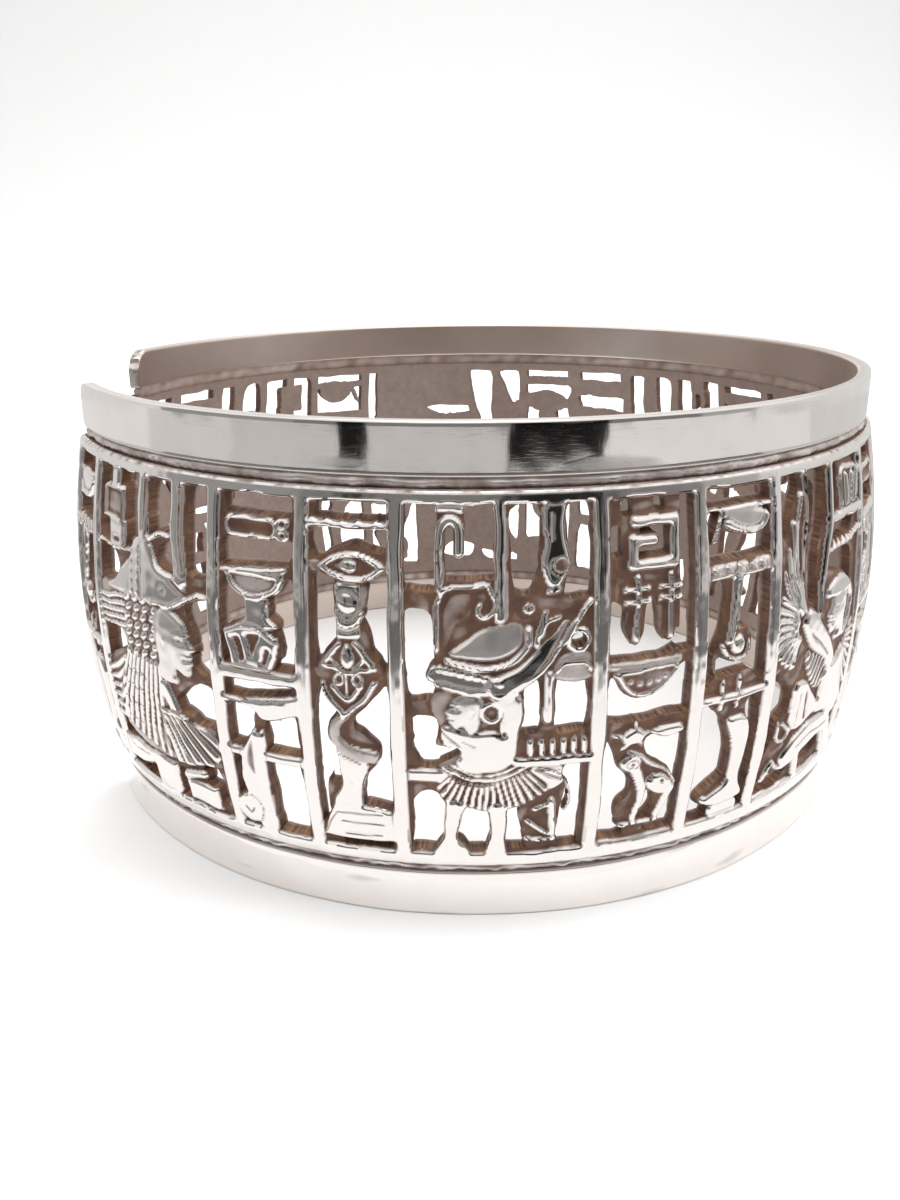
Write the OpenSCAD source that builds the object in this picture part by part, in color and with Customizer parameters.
// Wide silver cuff bracelet that stands on its lower rim, with its gap toward -X.
// Two plain strips carry a cast band of old Egyptian signs, pierced between upright bars.
// All of it is soldered into one piece of metal. Heights are measured from the lower rim.

/* [Cuff] */
// Height of the cuff, from rim to rim
cuff_h = 33.2; // [31:0.2:35]
// Outer radius of the two plain strips
rim_r = 32; // [30:0.5:34]
// Angle of the gap between the two ends
gap_angle = 35.5; // [26:0.5:44]
// Radius of the rounded corners of both ends
corner_r = 2.6; // [1.5:0.1:3]

/* [Plain strips] */
// Height of each plain strip
strip_h = 3.3; // [3:0.1:3.6]
// Thickness of the plain strips
strip_t = 1; // [0.9:0.1:1.2]
// Height of the soldered groove beside each strip
groove_h = 0.6; // [0.4:0.1:0.7]
// Height of the flat border between the groove and the openings
border_h = 0.9; // [0.7:0.1:1]

/* [Pierced band] */
// How far the raised signs stand proud of the strips at the band's edges
band_rise = 0.5; // [0.4:0.1:0.7]
// How far the band bulges out at half height
bulge = 1.15; // [0.9:0.05:1.4]
// Thickness of the band, from its inner wall to the top of the signs
band_t = 1.75; // [1.6:0.05:1.9]
// Height of the signs above the ground that they stand on
relief_h = 0.45; // [0.35:0.05:0.55]
// Width of the upright bars between the columns
bar_w = 0.9; // [0.8:0.05:1]

/* [Hidden] */

silver = "#c9c6c2";
// Radius at which the columns are laid out flat, and one millimetre of it as an angle
lay_r = rim_r + 1;
mm_angle = 180 / PI / lay_r;
// Azimuths are counted from -Y toward +X, and the gap is centred on -X
first_angle = -90 + gap_angle / 2;
turn_angle = 360 - gap_angle;

// The openings of the band lie between these two heights
field_low = strip_h + groove_h + border_h;
field_high = cuff_h - field_low;
field_h = field_high - field_low;
// How far the inner face of the signs stands back from the band's inner wall
inner_step = 0.12;
// Sides of the small discs
facets = 8;

// Columns from the left end to the right end: kind and width
narrow = 6.4;
wide = 12.5;
columns = [
    ["staff", 5.9], ["bust", 14.1], ["basket", 6.55], ["eye", 6], ["crowned", 12.5], ["beast", 6.8],
    ["staff", 6.3], ["winged", 12.4], ["basket", 6.4], ["eye", 6.3], ["bust", 13.1], ["beast", 6.6],
    ["staff", 6.4], ["crowned", 12.6], ["basket", 6.4], ["eye", 6.3], ["winged", 12.5], ["beast", 6.6],
    ["staff", 6.4], ["bust", 13.1], ["basket", 6.4], ["eye", 6.35]
];
KIND = 0;
WIDTH = 1;
function nominal(kind) = (kind == "bust" || kind == "crowned" || kind == "winged") ? wide : narrow;
function sum_to(n) = n <= 0 ? 0 : columns[n - 1][WIDTH] + sum_to(n - 1);
// The chart is stretched a little so that the last column ends at the end bar
chart_len = sum_to(len(columns));
stretch = (turn_angle / mm_angle - bar_w) / chart_len;
function column_angle(n) = first_angle + (bar_w / 2 + sum_to(n) * stretch) * mm_angle;

// Openings of each kind of column: left, right, low and high
basket_gaps = [
    [0.9, 5.9, 27.2, 28.4], [0.9, 5.9, 24.4, 25.6], [0.7, 1.9, 17.7, 22.9], [4.5, 6.0, 17.9, 22.7],
    [3.6, 5.9, 11.2, 14.2], [3.5, 5.7, 4.8, 10.5]
];
eye_gaps = [
    [0.9, 5.6, 25.9, 26.9], [0.7, 2.2, 18.4, 23.6], [4.6, 6.0, 18.4, 23.6],
    [0.8, 2.2, 9.7, 15.8], [3.8, 6.0, 9.7, 16.0]
];
beast_gaps = [
    [4.8, 5.6, 20.3, 28.0], [0.7, 4.6, 18.6, 22.2], [0.7, 5.4, 14.6, 17.0], [0.6, 2.1, 6.6, 12.6], [3.6, 5.7, 9.8, 12.9]
];
staff_gaps = [
    [0.7, 5.7, 23.9, 26.9], [0.6, 1.8, 16.3, 22.7], [3.0, 5.8, 16.3, 22.7], [0.6, 3.1, 8.4, 13.8], [4.7, 5.8, 5.5, 13.3]
];
bust_gaps = [
    [0.6, 1.9, 20.6, 28.2], [4.3, 6.0, 24.4, 28.4], [6.9, 9.2, 22.8, 28.4], [10.2, 11.9, 22.3, 28.4],
    [9.0, 11.8, 12.3, 15.1], [0.6, 4.8, 5.0, 6.3]
];
crowned_gaps = [
    [0.7, 2.2, 23.3, 28.4], [7.0, 8.7, 23.2, 28.4], [10.6, 11.8, 22.5, 28.4], [0.7, 2.0, 16.9, 22.1],
    [1.0, 3.4, 11.9, 15.0], [9.8, 11.7, 14.2, 18.4], [10.2, 11.7, 5.4, 11.5], [1.0, 2.8, 5.1, 9.7], [4.0, 5.7, 5.1, 8.5]
];
winged_gaps = [
    [0.6, 2.4, 24.2, 28.4], [3.4, 5.3, 20.9, 28.4], [6.5, 10.9, 20.9, 22.5], [0.6, 2.6, 10.2, 14.6], [5.6, 8.7, 6.2, 8.2]
];
LEFT = 0;
RIGHT = 1;
LOW = 2;
HIGH = 3;

// Strokes and outlines, in the flat chart of a column

function unit(v) = v / norm(v);
function side(v) = [-v.y, v.x];
function heading(p, i) = unit(p[min(i + 1, len(p) - 1)] - p[max(i - 1, 0)]);
function ribbon(p, w) = concat(
    [for (i = [0:len(p) - 1]) p[i] + side(heading(p, i)) * w / 2],
    [for (i = [len(p) - 1:-1:0]) p[i] - side(heading(p, i)) * w / 2]
);
function arc(c, rx, ry, a0, a1, n) = [
    for (i = [0:n]) c + [rx * cos(a0 + (a1 - a0) * i / n), ry * sin(a0 + (a1 - a0) * i / n)]
];
function loop(c, rx, ry, n) = arc(c, rx, ry, 0, 360 - 360 / n, n - 1);

module stroke(p, w) {
    polygon(ribbon(p, w));
}

module disc(c, rx, ry) {
    polygon(loop(c, rx, ry, facets));
}

module ring(c, rx, ry, w) {
    difference() {
        polygon(loop(c, rx, ry, facets + 2));
        polygon(loop(c, rx - w, ry - w, facets + 2));
    }
}

module bowl(c, rx, ry) {
    polygon(arc(c, rx, ry, 180, 360, 6));
}

module level(x0, x1, y, w) {
    translate([x0, y - w / 2]) square([x1 - x0, w]);
}

module upright(x, y0, y1, w) {
    translate([x - w / 2, y0]) square([w, y1 - y0]);
}

// Straight rays from one ellipse to another about the same middle
module rays(c, r0, r1, a0, a1, n, w) {
    for (i = [0:n - 1]) {
        a = a0 + (a1 - a0) * i / (n - 1);
        stroke([c + [r0.x * cos(a), r0.y * sin(a)], c + [r1.x * cos(a), r1.y * sin(a)]], w);
    }
}

// Signs of each kind of column

module basket_signs() {
    // ring that is tied at its right end
    ring([3.1, 26.4], 2.1, 0.65, 0.3);
    upright(5.5, 25.7, 27.1, 0.5);
    // basket
    bowl([3.3, 24.3], 2.5, 1.9);
    // half fan on a thick rail
    stroke(arc([3, 17.2], 2, 2.9, 165, 15, 6), 0.5);
    rays([3, 17.2], [0.6, 0.6], [1.8, 2.8], 50, 130, 3, 0.5);
    stroke([[0.3, 17.2], [6.2, 16.7]], 1);
    level(0.4, 6.1, 15, 0.7);
    // blade and ball
    polygon([[3, 13.6], [3.5, 11.8], [3.1, 9.4], [2.4, 7.4], [2, 9.4], [2.1, 11.6]]);
    disc([1.9, 6.6], 0.95, 0.95);
}

module eye_signs() {
    level(0.5, 5.9, 27.2, 0.5);
    // eye
    ring([3.3, 24.8], 1.95, 0.95, 0.32);
    disc([3.3, 24.8], 0.5, 0.5);
    // ball over a lotus
    disc([3.3, 22.4], 0.85, 0.9);
    stroke([[3.3, 21.6], [3.3, 17]], 1.7);
    rays([3.3, 16.9], [0.4, 0.6], [1.9, 2.5], 50, 130, 3, 0.8);
    stroke([[1.2, 17.6], [3.3, 15.7], [5.4, 17.5]], 0.6);
    // seated bird
    disc([2.1, 14.3], 0.75, 0.75);
    stroke([[2.1, 14.2], [3.4, 13], [4.9, 12.3]], 1.1);
    stroke([[3, 12.8], [2.5, 11], [2.9, 9.4]], 0.7);
    // steps
    level(1.7, 5.4, 9, 0.9);
    level(1.3, 5.5, 7.9, 0.7);
    level(0.9, 5.6, 6.8, 0.8);
}

module beast_signs() {
    // square winding
    stroke([[2.3, 27.1], [4.5, 27.1], [4.5, 24.5], [1.8, 24.5], [1.8, 26], [3.5, 26]], 0.42);
    // two forked rods
    for (x = [2.2, 4.1]) {
        upright(x, 19.8, 23.7, 0.4);
        level(x - 0.6, x + 0.6, 22.7, 0.35);
    }
    // bowl under a rail
    level(0.5, 5.8, 18.1, 0.5);
    bowl([3, 18], 1.8, 1.5);
    level(0.5, 5.9, 13.6, 0.9);
    // seated beast
    disc([2.3, 11.8], 0.8, 0.75);
    polygon([[2, 12], [3, 12.2], [5.3, 9.2], [5.2, 6.2], [4.5, 6.2], [4.2, 8], [3.3, 8.4], [3.1, 6.2], [2.4, 6.2]]);
    level(0.6, 5.9, 5.9, 0.6);
}

module staff_signs() {
    // basket
    bowl([3.6, 27.2], 2, 1.6);
    level(0.5, 5.9, 23.3, 0.6);
    // hooked staff
    stroke([[2.5, 23], [2.3, 19.4], [2.2, 18.1], [3.1, 17.4], [4.1, 18.5]], 0.6);
    level(0.5, 5.9, 15.9, 0.6);
    // table and leaf
    level(0.6, 5.5, 14.6, 0.5);
    disc([3.2, 13.7], 1.2, 0.5);
    // leg with its foot
    stroke([[4, 13.6], [4.1, 10], [3.9, 6.8]], 1.1);
    stroke([[4.2, 7.1], [2.9, 7.2], [1.6, 6.8]], 0.8);
}

module bust_signs() {
    // square ring on its stem
    ring([3.1, 26.3], 1.25, 1.3, 0.4);
    upright(3.3, 23.2, 25.1, 1.1);
    upright(6.4, 23.4, 28.5, 0.7);
    upright(9.7, 22.4, 28.2, 0.8);
    // cap and its brim
    polygon([[1.6, 20.1], [2.3, 22], [4, 23.3], [7.3, 23.3], [9.4, 22], [10.8, 20.7], [7.4, 20]]);
    stroke([[7.2, 20.2], [9.5, 20.4], [11.9, 21.4]], 0.5);
    // plain head, wig and tresses
    polygon([[7.4, 20], [9.9, 20], [10.3, 18], [9.7, 15.7], [8.6, 15], [8.2, 13.4], [7.4, 13]]);
    for (i = [0:4])
        stroke([[2.6 + i * 0.95, 20], [2.5 + i * 1.0, 16], [2.3 + i * 1.0, 8.6]], 0.55);
    // broad collar
    rays([6.6, 13], [1.2, 1.4], [5, 5.2], -75, -30, 6, 0.5);
    // base
    level(0.5, 7.1, 7, 1.3);
    level(8.5, 11.9, 5.9, 1);
}

module crowned_signs() {
    // crook
    stroke(concat([[2.7, 24]], arc([3.4, 27.1], 0.7, 0.8, 180, 0, 4)), 0.45);
    upright(6.3, 22, 28.5, 0.7);
    // tall jar with a ring
    polygon([[9.2, 28.3], [10.3, 28.3], [10.4, 25], [9.8, 23.6], [9.2, 24.4], [9, 26]]);
    // crown with its curl
    stroke([[2.5, 18.8], [2.4, 21], [2.9, 23.2], [3.6, 23.7], [5.7, 23.6], [6, 22.6], [5.4, 22]], 0.4);
    polygon([[3.2, 19.3], [5, 18.8], [6.7, 19.2], [7.8, 20.4], [8.1, 21.3], [5.6, 20.9]]);
    stroke([[2.4, 18.1], [4.6, 17.7], [6.6, 17.2], [7.4, 16.9]], 1);
    stroke([[11.6, 22.7], [10.4, 20.9], [9.2, 19.1], [8, 17.6], [7, 16.9]], 0.6);
    // head, trunk and arms
    disc([3.9, 15.7], 1.3, 1.4);
    ring([5.6, 15.4], 0.75, 0.75, 0.3);
    polygon([[4.2, 14.4], [7.7, 14.4], [7.4, 12], [5.6, 11], [3.8, 11.8]]);
    stroke([[6.8, 17], [6.8, 14], [7.5, 12.6]], 0.9);
    upright(9.2, 13.9, 18, 0.5);
    // comb on a table
    level(7.2, 11.9, 12.3, 0.5);
    for (i = [0:4]) upright(8 + i * 0.85, 12.4, 13.9, 0.4);
    // pleated kilt
    stroke([[3.3, 11.7], [4.3, 11], [5.6, 10.7], [7, 11], [8.2, 11.6]], 0.45);
    rays([5.7, 13.6], [2.6, 2.9], [4.6, 5.1], -140, -40, 9, 0.45);
    // legs, jar and ground line
    upright(3.4, 5, 9.2, 0.95);
    upright(6.2, 5, 8.9, 1);
    disc([8.7, 7.2], 1.1, 1.7);
    level(0.7, 11.9, 5.1, 0.5);
}

module winged_signs() {
    upright(2.9, 24.4, 28.5, 0.7);
    stroke([[5.9, 28.5], [5.7, 24], [5.1, 18.5]], 0.7);
    // arch over two lines
    stroke(arc([9.3, 25.3], 2.6, 2.6, 180, 0, 6), 0.5);
    upright(8.6, 25.3, 27.4, 0.4);
    upright(10, 25.3, 27.4, 0.4);
    level(6.3, 12, 25, 0.5);
    level(6.3, 12, 22.9, 0.5);
    // plain head and trunk
    disc([8.6, 18.6], 1.25, 1.7);
    polygon([[7.2, 16.6], [10, 16.6], [9.6, 12.6], [10.2, 9.4], [6.6, 9.4], [7.4, 12.6]]);
    // wings
    stroke([[3.3, 19.4], [5, 17.2], [7.4, 15]], 1);
    rays([6.6, 16.6], [2.2, 1.6], [5.8, 6.4], 125, 200, 7, 0.5);
    rays([10.2, 16.4], [0.7, 1], [1.9, 5], 60, -60, 5, 0.5);
    // kneeling leg
    stroke([[2.3, 8], [4.6, 9.4], [9.6, 9.1], [10.4, 6.4]], 1.3);
    stroke([[2.6, 8.2], [4.6, 6.2], [5.6, 5.4]], 0.8);
}

module gaps_of(kind) {
    rows = kind == "basket" ? basket_gaps
        : kind == "eye" ? eye_gaps
        : kind == "beast" ? beast_gaps
        : kind == "staff" ? staff_gaps
        : kind == "bust" ? bust_gaps
        : kind == "crowned" ? crowned_gaps
        : winged_gaps;
    for (g = rows)
        translate([g[LEFT], g[LOW]]) square([g[RIGHT] - g[LEFT], g[HIGH] - g[LOW]]);
}

module signs_of(kind) {
    if (kind == "basket") basket_signs();
    if (kind == "eye") eye_signs();
    if (kind == "beast") beast_signs();
    if (kind == "staff") staff_signs();
    if (kind == "bust") bust_signs();
    if (kind == "crowned") crowned_signs();
    if (kind == "winged") winged_signs();
}

// A flat chart of column n, stretched to its own width and stood up in front of the band
module stand_up(n) {
    kind = columns[n][KIND];
    own_w = columns[n][WIDTH] * stretch;
    depth = 8;
    rotate([0, 0, (column_angle(n) + column_angle(n + 1)) / 2])
        translate([0, -lay_r + depth / 2, 0])
            rotate([90, 0, 0])
                linear_extrude(depth)
                    offset(delta = 0.01)
                        translate([-own_w / 2, 0])
                            scale([own_w / nominal(kind), 1])
                                children();
}

// Outer radius of the raised signs at a height in the band
function band_r(z) = let (u = (z - field_low) / field_h) rim_r + band_rise + 4 * bulge * u * (1 - u);
band_steps = 6;
band_z = [for (i = [0:band_steps]) field_low + field_h * i / band_steps];

// Part of the band's wall between two depths below its outermost surface
module wall(outer, inner, a0, a1, over) {
    z = concat([field_low - over], [for (i = [1:band_steps - 1]) band_z[i]], [field_high + over]);
    section = concat(
        [for (i = [0:band_steps]) [band_r(band_z[i]) - outer, z[i]]],
        [for (i = [band_steps:-1:0]) [band_r(band_z[i]) - inner, z[i]]]
    );
    rotate_extrude(angle = a1 - a0, start = a0 - 90, $fn = 180)
        polygon(section);
}

module strip_section() {
    inner = rim_r - strip_t;
    edge = 0.15;
    polygon([
        [inner, edge], [inner + edge, 0], [rim_r - edge, 0], [rim_r, edge],
        [rim_r, strip_h - edge], [rim_r - 0.3, strip_h], [rim_r - 0.3, strip_h + groove_h],
        [rim_r + band_rise, strip_h + groove_h + 0.1], [rim_r + band_rise, field_low],
        [rim_r + band_rise - band_t, field_low], [rim_r + band_rise - band_t, strip_h + groove_h],
        [inner, strip_h + groove_h - 0.2]
    ]);
}

module rings() {
    rotate_extrude(angle = turn_angle, start = first_angle - 90, $fn = 180)
        union() {
            strip_section();
            translate([0, cuff_h]) mirror([0, 1]) strip_section();
        }
}

// The ground of the band with its openings
module ground() {
    difference() {
        wall(relief_h, band_t, first_angle, first_angle + turn_angle, 0.3);
        for (n = [0:len(columns) - 1])
            stand_up(n) gaps_of(columns[n][KIND]);
    }
}

// Signs of column n, which reach through the band's thickness where they cross an opening
module column_signs(n) {
    inset = 0.2 * mm_angle;
    intersection() {
        wall(0, band_t - inner_step, column_angle(n) + inset, column_angle(n + 1) - inset, 0.3);
        stand_up(n) signs_of(columns[n][KIND]);
    }
}

module bars() {
    half = bar_w / 2 * mm_angle;
    for (n = [0:len(columns)])
        wall(0, band_t - inner_step / 2, column_angle(n) - half, column_angle(n) + half, 0.3);
}

// What the rounded corners take off both ends, seen from outside the end at azimuth 0
module corner_cut() {
    depth = 6;
    for (high = [0, 1])
        translate([0, -lay_r + depth / 2, high * cuff_h])
            rotate([90, 0, 0])
                linear_extrude(depth)
                    mirror([0, high])
                        difference() {
                            translate([-2, -1]) square([2 + corner_r, 1 + corner_r]);
                            translate([corner_r, corner_r]) circle(corner_r, $fn = 48);
                        }
}

// The gap takes metal off the side toward -X, so the cuff's axis stands this far from the middle
axis_x = -(rim_r + band_rise + bulge) * (1 - cos(gap_angle / 2)) / 2;

module cuff() {
    color(silver)
        translate([axis_x, 0, 0]) difference() {
            union() {
                rings();
                ground();
                bars();
                for (n = [0:len(columns) - 1]) column_signs(n);
            }
            rotate([0, 0, first_angle]) corner_cut();
            rotate([0, 0, first_angle + turn_angle]) mirror([1, 0, 0]) corner_cut();
        }
}

cuff();
